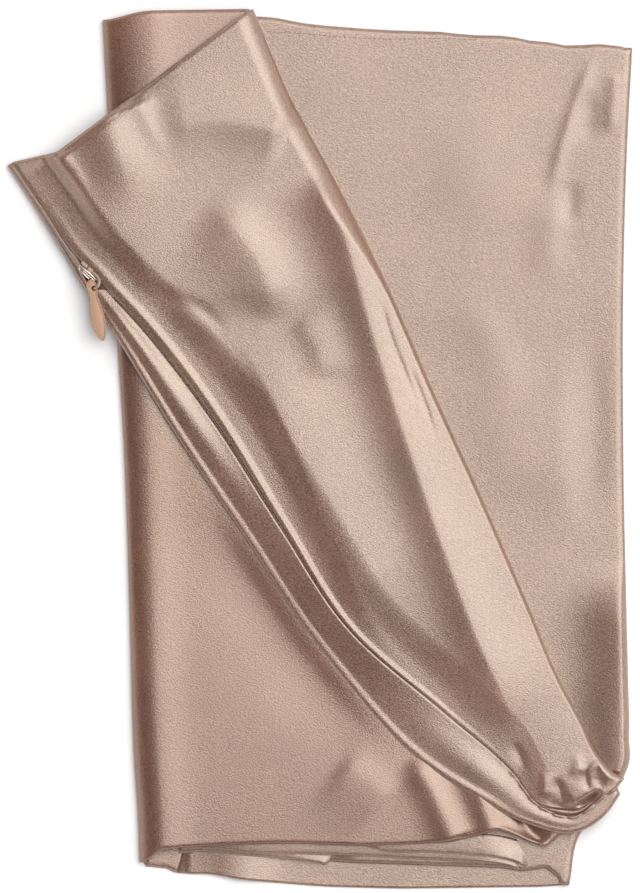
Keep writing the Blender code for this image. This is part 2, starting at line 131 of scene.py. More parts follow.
# Down the sides of the packet: share of the width, left fold x and y, right fold x and y.
SIDE_ROWS = (
    (0.00, -124, 244, 177, 228),
    (0.12, -121, 186, 174, 170),
    (0.27, -119, 113, 172, 100),
    (0.50, -112, 4, 172, -10),
    (0.75, -108, -115, 174.6, -130),
    (0.83, -107, -154, 175.2, -164),
    (0.88, -106, -178, 173.6, -184),
    (0.91, -105, -193, 163, -202),
    (0.94, -104, -207, 149, -217),
    (1.00, -103, -236, 141, -249),
)

# Down the flap: share, then x and y of the diagonal fold, of the zip's groove and of the band's edge.
FLAP_ROWS = (
    (0.00, -39, 250, -175.6, 162.6, -178.4, 161),
    (0.06, -28, 223, -157.4, 136, -160.4, 134),
    (0.12, -16, 196, -139, 109, -143, 106),
    (0.14, -11, 187, -131.8, 101.7, -138.2, 97.3),
    (0.16, -7, 179, -124, 92.8, -131.6, 87),
    (0.18, -2, 170, -117.6, 85.8, -126.5, 79),
    (0.20, 3, 161, -110.4, 78.2, -121.8, 71.8),
    (0.35, 36, 96, -62, 17, -82, 7),
    (0.49, 63, 34, -23, -44, -43, -51),
    (0.63, 92, -30, 17, -104, -2, -112),
    (0.76, 117, -88, 70, -150, 52, -174),
    (0.86, 136, -133, 109, -184, 95, -202),
    (0.91, 148, -156, 126, -204, 116, -213),
    (0.95, 156, -173, 145, -209, 143, -219),
    (0.985, 167, -185.5, 160.5, -197.5, 163, -207),
    (1.00, 172.5, -188.3, 168, -192.5, 170, -197),
)

# The edges of the layers at the top hem and at the bottom: x and y along each.
TOP_HEM = (
    (-124, 244), (-36, 245.8), (-26, 245), (-18, 243.4), (-9, 241.7), (2, 240.5), (16, 239.4), (31, 238.3),
    (45, 237.7), (68, 237), (76, 236), (88, 235), (102, 234.8), (111, 233.7), (119, 232), (130, 231),
    (139, 229.2), (148, 229.4), (159, 230), (168, 229), (177, 228),
)
TOP_LAYER_HEM = ((-124, 244), (-97, 249), (-39, 250))
TOP_LAYER_BOTTOM = (
    (-103, -231), (-93, -229), (-80, -227.5), (-69, -226.9), (-49, -225.7), (-29, -225), (-12, -225),
    (5, -225.7), (25, -226.3), (42, -225.7), (56, -225), (74, -224), (91, -220), (99, -217), (108, -219),
    (119, -224), (128, -227), (174, -186),
)
MIDDLE_BOTTOM = (
    (-103, -238.5), (-97.5, -238.4), (-88, -239.4), (-83.5, -241.5), (-81.5, -242), (-79.5, -229.6),
    (-46, -230.5), (-12, -233.6), (3, -235.6), (45, -237), (102, -239), (115, -241), (128, -239),
    (141, -249),
)
BOTTOM_BOTTOM = (
    (-84, -241.6), (-79, -242.7), (-63, -242.6), (-55, -244), (-46, -245.8), (-26, -247.6), (-10, -249),
    (5, -250), (45, -251), (125, -250), (141, -249),
)
# How fast each edge's shape fades into the rows, as a power of the share.
EDGE_FADE = {"first": 3, "last": 4}
HEM_BEND = {"share": 0.8, "drop": 10.4, "fade": 8}

# Beside the zip the flap has a narrow ridge: share, how far it is from the zip, and its half width.
ZIP_RIDGE = ((0, 3.8, 2.3), (0.3, 3.6, 2.3), (0.42, 2.4, 1.9), (0.55, 1.3, 1.5), (1, 1.2, 1.4))

# Beyond it the flap climbs to its top, evenly at first and then steeply: share, the ridge's height,
# how far from the zip the steep climb starts and ends, and the heights that each climb gains.
FLAP_TOP = (
    (0.00, 0, 18, 28, 1.6, 0.2),
    (0.06, 0.1, 17, 28, 1.8, 0.5),
    (0.12, 0.4, 15, 28, 1.8, 1.1),
    (0.20, 1, 12, 29, 1.6, 1.8),
    (0.35, 1.1, 13, 31, 1.2, 1.9),
    (0.60, 1.1, 13, 31, 1, 1.7),
    (0.72, 0.8, 9, 28, 1, 1.5),
    (0.78, 0.4, 7, 26, 1.5, 0.8),
    (0.84, 0.1, 6, 24, 1.8, 0.2),
    (0.92, 0, 4, 16, 1, 0),
    (1.00, 0, 4, 12, 0, 0),
)

# The band: how high its edge by the groove, its middle and its outer crown lie over the zip's line.
BAND_PROFILE = (
    (0.00, 0, 0, -0.8),
    (0.06, 0.2, 0, -1.2),
    (0.12, 0.2, 0, -1),
    (0.15, 0, 0, 0),
    (0.20, 0.2, 1.2, 0.4),
    (0.32, 0.5, 1.6, -0.4),
    (0.42, 1.2, 0.6, -1.8),
    (0.52, 1.6, 0, -2.8),
    (0.62, 1.5, 0, -3.4),
    (0.68, 1.3, 0, -3.2),
    (0.74, 0.6, 0.2, -2.6),
    (0.80, -0.3, 0.9, -1.6),
    (0.84, -0.8, 1.3, -0.8),
    (0.88, -0.6, 0.6, -0.6),
    (0.92, -0.4, 0.6, -0.2),
    (1.00, 0, 0, 0.4),
)
BAND_BEAD = {"rise": 0.55, "half_width": 1.5, "over": (0.18, 0.28)}
BAND_EVENNESS = 0.8

# A crease's path has this many steps between its points, and its height this reach in half widths.
CREASE = {"steps": 5, "reach": 2.6}

# Creases: half width at the left hand and at the right hand along the path, height, how sharp the crest
# is (2 is round, 1 is sharp), the shares of the path over which it fades in and out, then x and y of the
# points that it runs through.
FLAP_CREASES = (
    (24, 14, 4, 1.4, 0.12, 0.2,
     ((-2, 161), (5, 139), (14, 119), (27, 73), (41, 27), (56, -18), (72, -64), (89, -109), (104, -142),
      (113, -166))),
    (36, 9, 3, 1.8, 0.2, 0.25,
     ((-49, 67), (-26, 27), (-7, -18), (2, -41), (14, -64), (24, -87), (52, -130))),
    (40, 12, 1.5, 1.4, 0.02, 0.45,
     ((-148, 167), (-139, 154), (-132, 144), (-119, 128), (-104, 109), (-84, 90))),
    (4, 7, -0.7, 1.8, 0.2, 0.35, ((-98, 94), (-86, 86), (-74, 82), (-62, 74), (-54, 64))),
    (6, 5, 0.25, 2, 0.3, 0.3, ((-84, 80), (-70, 73), (-56, 61))),
    (18, 19, 3.8, 1.8, 0.02, 0.6, ((-124, 190), (-118, 173), (-111, 153), (-101, 134))),
    (10, 7, 1, 1.6, 0.05, 0.5, ((-107, 199), (-100, 188), (-93, 174), (-86, 162))),
    (22, 13, 1.9, 1.5, 0.2, 0.15, ((-96, 183), (-64, 186), (-40, 184), (-18, 178))),
    (3.2, 4.2, 0.7, 1.3, 0.02, 0.7, ((-148, 168), (-140, 158), (-134, 148), (-124, 130))),
    (14, 22, 2.6, 1.7, 0.3, 0.3, ((-68, 140), (-46, 120), (-32, 96), (-31, 70))),
    (14, 9, 1.1, 2, 0.3, 0.3, ((-14, 78), (-1, 59), (4, 36))),
    (1.6, 1.6, -0.5, 2, 0.2, 0.3, ((33, 86), (40, 62), (48, 42), (55, 25))),
    (1.2, 1.2, -0.4, 2, 0.2, 0.4, ((50, 47), (59, 25), (66, 3))),
)

# Folds in the gathered end, the top layer and the middle layer, in the same columns.
KNOT_CREASES = (
    (5, 2, 0.8, 1.7, 0.45, 0.25, ((128.4, -183), (127.2, -188), (126.8, -194), (127.6, -199.5))),
    (2.8, 2.8, -1.3, 1.8, 0.45, 0.2, ((132.5, -186), (134.5, -191), (137, -198), (139, -202))),
    (2.4, 3.6, 0.55, 1.6, 0.4, 0.4, ((144.5, -171), (146.2, -178), (147, -184), (147.4, -191))),
    (2.4, 2.4, 0.45, 1.7, 0.4, 0.4, ((139.5, -187), (146.4, -182.6), (153.5, -187))),
    (2.2, 2.6, -0.9, 1.8, 0.35, 0.3, ((149.4, -181), (150.6, -188), (152.4, -196))),
    (2.2, 2.2, 1, 1.5, 0.3, 0.3,
     ((151.6, -191), (153.4, -183), (157.6, -180.4), (160.4, -183.8), (164, -187.4), (169, -189.4))),
    (3, 3, -0.6, 2, 0.4, 0.35, ((156.6, -185), (158.2, -190), (161.5, -195))),
    (2.4, 4, -0.8, 1.8, 0.4, 0.4, ((107, -166), (111.7, -172), (114.6, -178), (116.5, -186))),
    (1.5, 1.5, -3.2, 1.5, 0.3, 0.2, ((143.5, -204.4), (149, -201.8), (154, -198.6), (159.5, -194.5))),
    (3.8, 3.8, -2.8, 1.7, 0.35, 0.3, ((127, -199), (136, -204), (146, -206), (154, -202), (160, -196))),
)
TOP_LAYER_CREASES = (
    (8, 9, 2.2, 1.7, 0.3, 0.05, ((50, -174), (63, -195), (76, -224))),
    (6, 8, 2.2, 1.7, 0.25, 0.05, ((82, -180), (91, -199), (99, -222))),
    (12, 22, 1.2, 2, 0.3, 0.2, ((8, -178), (40, -203))),
    (5, 4, -2.6, 1.8, 0.3, 0.15, ((108, -200), (114, -211), (121, -220), (127, -226))),
    (2.2, 3, 1.6, 1.6, 0.2, 0.05, ((101, -215), (109, -219.5), (119, -224), (128, -227))),
    (40, 20, 2.4, 2.1, 0.01, 0.4, ((-97, 250), (-97, 200), (-102, 150))),
    (10, 26, -1.3, 2, 0.35, 0.35,
     ((-76, -18), (-55, -56), (-35, -86), (-13, -118), (14, -151), (42, -182))),
    (6, 11, 0.8, 1.8, 0.3, 0.3, ((-66, -16), (-46, -46), (-24, -80), (-4, -110), (24, -144), (50, -173))),
)
MIDDLE_LAYER_CREASES = (
    (11, 17, 2.8, 1.7, 0.35, 0.02, ((-42, -214), (-44, -228), (-46, -250))),
    (8, 20, 5.4, 1.8, 0.35, 0.02, ((170, -62), (174, -100), (174, -144), (172, -188))),
    (3.5, 3.5, 0.7, 1.7, 0.2, 0.3, ((157, 226), (145, 196), (137, 170), (129, 138))),
    (4, 4, 0.6, 1.7, 0.2, 0.3, ((168, 216), (165, 176))),
    (6, 6, -0.6, 2, 0.4, 0.4, ((154, 206), (151, 170))),
    (5, 5, -0.6, 2, 0.4, 0.4, ((144, 155), (140, 125))),
    (8, 12, 0.6, 2, 0.4, 0.4, ((134, 150), (128, 90))),
    (26, 26, 0.5, 2, 0.4, 0.4, ((70, 200), (100, 120))),
    (20, 20, 0.5, 2, 0.4, 0.4, ((100, 60), (120, -40))),
    (10, 14, 0.4, 2, 0.4, 0.4, ((76, 96), (98, 58), (112, 20))),
    (8, 16, 0.5, 2, 0.4, 0.4, ((138, 60), (136, 0), (140, -60))),
    (9, 9, -0.5, 2, 0.4, 0.4, ((152, 90), (156, 10), (154, -50))),
)
BOTTOM_LAYER_CREASES = MIDDLE_LAYER_CREASES[:1]

# The cut edges of the panels that show between the layers at the bottom: how high each lies over the
# middle layer, then x and y along it. Each strip reaches up under the top layer.
PANEL_EDGES = (
    ("case_panel_edge_low", 1.1,
     ((-81, -231), (-69, -229.8), (-58, -230.4), (-46, -232), (-29, -233.2), (-12, -235), (-2, -236.3),
      (2.5, -237.2), (5, -235), (6.5, -231))),
    ("case_panel_edge_middle", 2,
     ((-79, -227), (-66, -228.3), (-55, -229), (-40, -230.8), (-26, -231), (2, -231.7), (14, -232),
      (34, -233), (56, -234.3), (79, -235.4), (102, -237.4), (110, -239.3), (114.5, -240.5),
      (115.5, -236))),
    ("case_panel_edge_high", 2.9,
     ((20, -225), (24, -226.4), (31, -228.6), (39, -230.3), (62, -230.6), (85, -232), (102, -233.7),
      (112, -236), (117, -238.3), (120, -234))),
)
PANEL_EDGE = {
    "depth": 13.0, "thickness": 0.45, "curl": 0.5, "sinks": 0.6, "end_taper": 28.0, "edge_taper": 6.0,
    "steps": 8, "stations": 9, "low": 1.8, "over": (-95.0, -20.0),
}

# The stitches along the top hem: x and y of the row, then the sizes of each.
STITCH_ROW = ((-30, 237.2), (-12, 236.4), (5, 234.8), (28, 233.4), (45, 233.1), (68, 233.4), (91, 232.6))
STITCH = {
    "pitch": 2.85, "length": 1.9, "width": 0.45, "rise": 0.15, "end_size": 0.35, "flatness": 0.6,
    "rings": 5, "sides": 6, "row_steps": 40,
}

# The slider lies in the slit. Its blocks: x, y, length, width, underside and top, all turned one way.
SLIDER_HEADING = -43.0
SLIDER_BLOCKS = (
    (-134.6, 104.4, 4.6, 2.2, 8, 11.2),
    (-131.4, 101.4, 3.4, 2.6, 8, 11.5),
    (-129.1, 99.3, 1.5, 3, 8, 11.2),
    (-133.2, 101.2, 9, 3, 7.4, 8.6),
)
BLOCK_CHAMFER = 0.35
BLOCK_CORNER = 0.8

# Its bright bars, and the hook that holds the pull: half width, how flat it is (1 is round), then x, y
# and height of the points.
SLIDER_BARS = (
    (0.5, 0.6, ((-137.4, 103.9, 10.8), (-134.3, 101.4, 11.7), (-131.1, 99, 11.8), (-127.9, 95.6, 11.2))),
    (0.34, 0.6, ((-137.2, 102.6, 10.4), (-135, 100.6, 11.3), (-131.6, 97.6, 11.3), (-128.8, 95.2, 10.8))),
    (0.5, 0.6, ((-137.4, 101.5, 10.2), (-134.8, 98.9, 11), (-132.2, 96.4, 10.9))),
    (0.4, 1, ((-137.2, 104.4, 10.3), (-137.7, 102.9, 10.1), (-137.4, 101.2, 10))),
)
SLIDER_HOOK = (
    (0.85, 0.8,
     ((-130.4, 100.2, 11), (-128.7, 98.9, 11.9), (-127.1, 97.3, 12.9), (-126.2, 95.4, 14.2),
      (-126.5, 92.9, 15), (-127.6, 91.4, 14.9), (-128.8, 90.9, 13.8), (-129.2, 90.9, 12.2))),
)
# A rod's steps between points, its rounded ends, and a direction that none runs in.
ROD = {"steps": 6, "end_reach": 0.5, "end_size": 0.6, "up": (0.1, 0.2, 1.0)}

# The pull: its outline from the head down the left side to the tip and back, and the hole in its head.
PULL_OUTLINE = (
    (-131.7, 95.8), (-133.7, 93.2), (-132.7, 89.4), (-131.5, 85.5), (-131.3, 80.4), (-130.9, 75.8),
    (-130.1, 71.3), (-128.5, 66.3), (-126.7, 62.6), (-124.4, 61), (-122.8, 62.6), (-122.3, 68.4),
    (-122.8, 73), (-124, 77.7), (-125.9, 82.7), (-127.2, 86.4), (-127.2, 90.3), (-127.9, 93.6),
    (-129.8, 95.8),
)
PULL_EYE = {"x": -129.3, "y": 90.8, "radius": 1.45, "steps": 24}
PULL_TIP_Y = 61.5
PULL_HEIGHT = {"at_eye": 12.8, "at_tip": 11.3}
PULL = {"thickness": 1.0, "bevel": 0.22, "outline_steps": 4, "sharp_angle": 40.0, "weld_within": 0.01}
PULL_RIM = {"radius": 0.45, "inset": 0.5, "raised": 0.45, "sides": 8}

GATHERS = {"middle": (153.0, -186.0), "half_width": 36.0, "rise": 1.8}
EDGE_ROUNDING = {"reach": 0.0045, "drop": 0.9}

# The camera looks straight down. The view is as large as the photograph's frame is at real size.
VIEW = {"x": -0.6, "y": 0.9, "image_height": 893, "mm_per_pixel": 0.57}
CAMERA = {"lens": 600.0, "sensor": 36.0, "clip_end": 50.0}

# The studio, in metres. Its walls are bright up to one sine of the elevation, and its ceiling is dim
# from another.
FLOOR_HALF_WIDTH = 3.0
SOFTBOX = {"direction": (0.35, 0.24, 0.906), "distance": 10.0, "size": 11.0, "power": 1140.0}
STUDIO = {
    "wall_top": 0.25, "wall_level": 1.3, "ceiling": 0.62, "ceiling_level": 0.08,
    "backdrop_level": 0.9, "colour": (1.0, 0.985, 0.97, 1.0),
}

SATIN = {"dark": (0.09, 0.04, 0.025), "light": (0.31, 0.165, 0.118), "tint": (1.0, 0.86, 0.74)}
# The top layer is the same satin. This darker, more saturated copy of it is painted shade.
SHADED_SATIN_COPY = {"dark": (0.06, 0.019, 0.01), "light": (0.22, 0.092, 0.058), "tint": (1.0, 0.8, 0.67)}
BROAD_GRAIN_WEIGHT = 0.25


def eased(amount):
    amount = np.clip(amount, 0.0, 1.0)
    return amount * amount * (3.0 - 2.0 * amount)


def eased_over(value, span):
    """0 up to the span's start and 1 from its end on, with a smooth change between."""
    start, end = span
    return eased((value - start) / (end - start))


def blend(first, last, amount):
    return first + (last - first) * amount


def length(vectors):
    return np.linalg.norm(vectors, axis=-1)


def unit(vectors):
    return vectors / length(vectors)[..., None]


def at_heights(xy, z):
    return np.concatenate([xy, z[..., None]], axis=-1)


def length_along(line):
    """How far each point of a line is from its start."""
    return np.concatenate([[0.0], np.cumsum(length(np.diff(line, axis=0)))])


def smooth_columns(table, keys):
    """The table's other columns at each key in its first column, as a curve with no corners."""
    rows = np.array(table, dtype=float)
    known = rows[:, 0]
    values = rows[:, 1:]
    slopes = np.gradient(values, known, axis=0)
    index = np.clip(np.searchsorted(known, keys) - 1, 0, len(known) - 2)
    step = (known[index + 1] - known[index])[..., None]
    t = (keys - known[index])[..., None] / step
    from_start = values[index] * (1 + 2 * t) + slopes[index] * step * t
    from_end = values[index + 1] * (3 - 2 * t) - slopes[index + 1] * step * (1 - t)
    return from_start * (1 - t) ** 2 + from_end * t**2


def smooth_path(points, steps):
    """A smooth curve through the points, with the given steps between each pair."""
    number = np.arange(len(points), dtype=float)
    table = np.column_stack([number, np.array(points, dtype=float)])
    return smooth_columns(table, np.linspace(0.0, len(points) - 1, steps * (len(points) - 1) + 1))


def offset_from_path(xy, path):
    """The distance in plan to a path, positive on its right, and how far along it, from 0 to 1."""
    run = np.diff(path, axis=0)
    offset = xy[:, None] - path[:-1]
    t = np.clip((offset * run).sum(axis=-1) / (run**2).sum(axis=-1), 0.0, 1.0)
    gap = length(offset - t[..., None] * run)
    side = np.sign(offset[..., 0] * run[:, 1] - offset[..., 1] * run[:, 0])
    point = np.arange(len(xy))
    nearest = gap.argmin(axis=1)
    return (gap * side)[point, nearest], (nearest + t[point, nearest]) / len(run)


def creases_height(xy, creases):
    """The height that ridges and troughs add. Each fades out towards its ends."""
    height = np.zeros(xy.shape[:-1])
    for left, right, rise, sharpness, fade_in, fade_out, points in creases:
        path = smooth_path(points, CREASE["steps"])
        reach = CREASE["reach"] * max(left, right)
        near = np.all((xy > path.min(axis=0) - reach) & (xy < path.max(axis=0) + reach), axis=-1)
        if not near.any():
            continue
        offset, along = offset_from_path(xy[near], path)
        width = np.where(offset < 0.0, left, right)
        fade = eased(along / fade_in) * eased((1.0 - along) / fade_out)
        height[near] += rise * fade * np.exp(-(np.abs(offset / width) ** sharpness))
    return height


def gathers_height(xy):
    """The mound under the gathered end, which the flap climbs onto."""
    offset = (xy - np.array(GATHERS["middle"])) / GATHERS["half_width"]
    return GATHERS["rise"] * np.exp(-((offset**2).sum(axis=-1) ** 2))


def closed_end_x(y):
    return CLOSED_END["x"] - CLOSED_END_CORNER["reach"] * eased_over(y, CLOSED_END_CORNER["over"])


def middle_height(xy):
    """The middle layer lies on the bottom layer, and on the table left of the closed end."""
    over_end = eased_over(xy[..., 0] - closed_end_x(xy[..., 1]), CLOSED_END["slope"])
    flat = blend(BOTTOM_LAYER_HEIGHT, MIDDLE_LAYER_HEIGHT, over_end)
    right_of_corner = eased_over(xy[..., 0], LOW_CORNER["over_x"])
    at_corner = (1.0 - right_of_corner) * eased_over(xy[..., 1], LOW_CORNER["over_y"])
    flat = blend(flat, np.minimum(flat, LOW_CORNER["height"]), at_corner)
    return flat + creases_height(xy, MIDDLE_LAYER_CREASES)


def top_height(xy):
    """The top layer's surface, with its lip at the bottom edge and its creases."""
    flat = blend(TOP_LAYER["low"], TOP_LAYER["high"], eased_over(xy[..., 0], TOP_LAYER["over"]))
    lip = BOTTOM_LIP["rise"] * eased_over(xy[..., 1], BOTTOM_LIP["over"])
    return flat + lip + creases_height(xy, TOP_LAYER_CREASES)


def flap_base(xy):
    """The flap's height along its zip. Its tip hangs out past the left fold, towards the table."""
    return blend(FLAP["at_tip"], FLAP["high"], eased_over(xy[..., 0], FLAP["over"]))


def flap_height(xy, at, from_zip):
    """The flap's surface: a ridge beside the zip, the climb to its top, the creases and the gathers."""
    beside_zip, first, last, even, steep = smooth_columns(FLAP_TOP, at.share).T[:, :, None]
    along_zip = flap_base(at.zip_line)[:, None]
    high = FLAP["high"] + steep - FLAP_SAG["drop"] * (1.0 - eased_over(xy[..., 0], FLAP_SAG["over"]))
    evenly = np.minimum(from_zip / last, 1.0)
    climb = even * evenly + (high - along_zip) * eased_over(from_zip, (first, last))
    distance, half_width = smooth_columns(ZIP_RIDGE, at.share).T[:, :, None]
    ridge = beside_zip * np.exp(-(((from_zip - distance) / half_width) ** 2))
    folds = creases_height(xy, FLAP_CREASES) + creases_height(xy, KNOT_CREASES)
    return along_zip + climb + ridge + folds + gathers_height(xy)


def patch(share, start, end, steps, first_edge=None, last_edge=None, start_moves=False):
    """Points in plan between two side lines, with the first and last rows bent to the given edges."""
    u = np.linspace(0.0, 1.0, steps + 1)[None, :, None]
    xy = start[:, None, :] * (1.0 - u) + end[:, None, :] * u
    for row, edge, fade in (
        (0, first_edge, (1.0 - share) ** EDGE_FADE["first"]),
        (-1, last_edge, share ** EDGE_FADE["last"]),
    ):
        if edge is None:
            continue
        known = np.array(edge, dtype=float)
        shift = np.interp(xy[row, :, 0], known[:, 0], known[:, 1]) - xy[row, :, 1]
        shift[0] *= start_moves
        shift[-1] = 0.0
        xy[:, :, 1] += shift[None, :] * fade[:, None]
    return xy


def rounded(outermost, inward, low, middle, high, below, above, bulge=2.0):
    """A fold's rounded edge, upwards: two quarter ellipses, the upper one flatter where bulge is under 2."""
    sizes = np.broadcast_arrays(outermost[:, 0], low, middle, high, below, above, bulge)
    low, middle, high, below, above, bulge = (size[:, None] for size in sizes[1:])
    lower = np.linspace(-90.0, 0.0, FOLD_STEPS_BELOW + 1)[:-1]
    upper = np.linspace(0.0, 90.0, FOLD_STEPS_ABOVE + 1)
    angles = np.radians(np.concatenate([lower, upper]))
    under = (angles < 0.0)[None, :]
    reach = np.where(under, below, above)
    half = np.where(under, middle - low, high - middle)
    power = np.where(under, 1.0, 2.0 / bulge)
    inwards = 1.0 - np.abs(np.cos(angles)) ** power
    upward = np.sign(angles) * np.abs(np.sin(angles)) ** power
    xy = outermost[:, None, :] + inward[:, None, :] * (reach * inwards)[..., None]
    return at_heights(xy, middle + half * upward)


def between(start, end, steps, even=0.0):
    """Stations between two lines of points, level at both, or with one slope where even is 1."""
    t = np.linspace(0.0, 1.0, steps + 1)[None, 1:-1]
    rise = even * t + (1.0 - even) * (1.0 - np.cos(math.pi * t)) / 2
    xy = start[:, None, :2] * (1.0 - t[..., None]) + end[:, None, :2] * t[..., None]
    return at_heights(xy, start[:, None, 2] * (1.0 - rise) + end[:, None, 2] * rise)


def row_shares():
    spans = [np.linspace(first, last, steps + 1)[:-1] for first, last, steps in ROW_SPANS]
    return np.concatenate(spans + [[1.0]])


def rounded_edge(share):
    """How far each row dips. Only those beside the seam edges do."""
    from_edge = np.minimum(np.minimum(share, 1.0 - share) / EDGE_ROUNDING["reach"], 1.0)
    return EDGE_ROUNDING["drop"] * (1.0 - np.sqrt(1.0 - (1.0 - from_edge) ** 2))


def plateau(share, place):
    """1 around a place's share and 0 outside its half length, with a smooth change between."""
    return np.exp(-(((share - place["share"]) / place["half_length"]) ** 4))


def row_lines(share):
    """The lines that each row crosses, their gaps, and how far it is in the slit, hollow and gathers."""
    at = types.SimpleNamespace(share=share, dip=rounded_edge(share))
    at.left, at.right = np.split(smooth_columns(SIDE_ROWS, share), 2, axis=1)
    at.diagonal, at.zip_line, at.edge = np.split(smooth_columns(FLAP_ROWS, share), 3, axis=1)
    at.across = length(at.zip_line - at.diagonal)
    at.into_flap = unit(at.zip_line - at.diagonal)
    at.band_width = length(at.edge - at.zip_line)
    at.to_edge = unit(at.edge - at.zip_line)
    at.slit = eased_over(share, SLIT["opens"]) * (1.0 - eased_over(share, SLIT["closes"]))
    at.hollow = plateau(share, HOLLOW)
    at.gathered = eased_over(share, GATHERED_OVER)
    at.band_profile = smooth_columns(BAND_PROFILE, share)
    at.band_drop = PRESSED_BAND["drop"] * plateau(share, PRESSED_BAND)
    depth, flap_gap, band_gap = smooth_columns(GROOVE_ROWS, share).T
    depth = blend(blend(depth, SLIT["depth"], at.slit), HOLLOW["depth"], at.hollow)
    at.groove_depth = depth * (1.0 - GROOVE_END["shallower"] * eased_over(share, GROOVE_END["over"]))
    flap_gap = blend(flap_gap, HOLLOW["flap_side"], at.hollow)
    at.flap_gap = np.minimum(flap_gap, MOST_OF_FLAP["lip"] * at.across)
    band_gap = np.minimum(band_gap, MOST_OF_BAND["groove"] * at.band_width)
    at.band_gap = blend(band_gap, at.band_width - SLIT["edge_width"], at.slit)
    rim_reach = np.minimum(RIM["reach"], MOST_OF_BAND["rim"] * at.band_width)
    at.rim_reach = blend(rim_reach, RIM["reach_at_slit"], at.slit)
    return at


def bottom_layer(at):
    """From the closed end to the right fold."""
    closed_end_y = at.right[:, 1] + (at.left - at.right)[:, 1] * CLOSED_END["way_across"]
    closed_end = np.stack([closed_end_x(closed_end_y), closed_end_y], axis=1)
    right = at.right + TO_LEFT * RIGHT_FOLD["reach_below"]
    xy = patch(at.share, closed_end, right, BOTTOM_STEPS, None, BOTTOM_BOTTOM, True)
    return at_heights(xy, BOTTOM_LAYER_HEIGHT + creases_height(xy, BOTTOM_LAYER_CREASES))


def middle_layer(at):
    """From the right fold to the left fold."""
    right = at.right + TO_LEFT * RIGHT_FOLD["reach_above"]
    left = at.left - TO_LEFT * LEFT_FOLD["reach_below"]
    xy = patch(at.share, right, left, MIDDLE_STEPS + MIDDLE_STEPS_ABOVE, TOP_HEM, MIDDLE_BOTTOM)
    return at_heights(xy, np.maximum(middle_height(xy) - at.dip[:, None], LOWEST))


def top_layer(at, left_above):
    """From the left fold to the diagonal fold, with a low crest beside the left fold."""
    left = at.left - TO_LEFT * left_above
    diagonal = at.diagonal + at.into_flap * DIAGONAL_FOLD["reach_below"]
    steps = TOP_STEPS + TOP_STEPS_UNDER_FLAP
    xy = patch(at.share, left, diagonal, steps, TOP_LAYER_HEM, TOP_LAYER_BOTTOM, True)
    from_left = xy[..., 0] - at.left[:, None, 0] - left_above
    crest = LEFT_FOLD_CREST["rise"] * np.exp(-((from_left / LEFT_FOLD_CREST["half_width"]) ** 2))
    return at_heights(xy, top_height(xy) + crest - at.dip[:, None])


def packet_rows(at):
    """The three layers and the two folds between them."""
    bottom = bottom_layer(at)
    middle = middle_layer(at)
    right_fold = rounded(
        at.right, TO_LEFT, bottom[:, -1, 2], RIGHT_FOLD["middle"], middle[:, 0, 2],
        RIGHT_FOLD["reach_below"], RIGHT_FOLD["reach_above"],
    )
    below_top = eased_over(at.share, LEFT_FOLD_AT_TOP["over"])
    left_above = blend(LEFT_FOLD_AT_TOP["reach_above"], LEFT_FOLD["reach_above"], below_top)
    top = top_layer(at, left_above[:, None])
    left_fold = rounded(
        at.left, -TO_LEFT, middle[:, -1, 2], LEFT_FOLD["middle"], top[:, 0, 2],
        LEFT_FOLD["reach_below"], left_above,
        blend(LEFT_FOLD_AT_TOP["bulge"], LEFT_FOLD["bulge"], below_top),
    )
    hem_shift = top[:, 0, 1] - at.left[:, 1]
    from_fold = (left_fold[:, :, 0] - at.left[:, 0:1]) / left_above[:, None]
    left_fold[:, :, 1] += hem_shift[:, None] * eased(from_fold)
    return bottom, right_fold[:, 1:-1], middle, left_fold[:, 1:-1], top


def flap_surface(at, fold_reach):
    """The flap from its diagonal fold to the lip of the zip's groove."""
    start = at.diagonal + at.into_flap * fold_reach[:, None]
    lip = at.zip_line - at.into_flap * at.flap_gap[:, None]
    xy = patch(at.share, start, lip, FLAP_STEPS)
    u = np.linspace(0.0, 1.0, FLAP_STEPS + 1)
    bend = np.interp(u, (0.0, HEM_BEND["share"], 1.0), (0.0, 1.0, 0.0))
    xy[:, :, 1] -= HEM_BEND["drop"] * bend * (1.0 - at.share[:, None]) ** HEM_BEND["fade"]
    from_zip = (1.0 - u) * length(lip - start)[:, None]
    return at_heights(xy, flap_height(xy, at, from_zip) - at.dip[:, None])


def band_rows(at):
    """The band beside the zip: its ruffled inner edge, its face and its crown with a bead."""
    along = length_along(at.zip_line) * 2 * math.pi
    waves = np.sin(along / RUFFLES["pitch"]) + RUFFLES["fine"] * np.sin(along / RUFFLES["fine_pitch"])
    ruffle = RUFFLES["height"] * at.gathered * waves
    frill = ruffle + RUFFLES["rise"] * at.gathered
    bead = BAND_BEAD["rise"] * eased_over(at.share, BAND_BEAD["over"]) * (1.0 - at.gathered)
    lowered = at.band_drop + at.dip
    near_xy = at.zip_line + at.to_edge * (at.band_gap + RUFFLES["sideways"] * ruffle)[:, None]
    near_z = flap_base(at.zip_line) + at.band_profile[:, 0] - lowered + SLIT["edge_rise"] * at.slit
    near = at_heights(near_xy, near_z)
    crown_xy = at.edge - at.to_edge * at.rim_reach[:, None]
    crown = at_heights(crown_xy, flap_base(crown_xy) + at.band_profile[:, 2] - lowered)
    band = between(near, crown, BAND_STEPS, BAND_EVENNESS)
    arch = np.sin(np.linspace(0.0, math.pi, BAND_STEPS + 1))[None, 1:-1] ** 2
    to_crown = length(band[:, :, :2] - crown_xy[:, None]) / BAND_BEAD["half_width"]
    to_near = length(band[:, :, :2] - near_xy[:, None]) / RUFFLES["half_width"]
    band[:, :, 2] += at.band_profile[:, 1, None] * arch + bead[:, None] * np.exp(-(to_crown**2))
    band[:, :, 2] += frill[:, None] * np.exp(-(to_near**2))
    near[:, 2] += frill
    crown[:, 2] += bead
    return near, band, crown[:, 2]


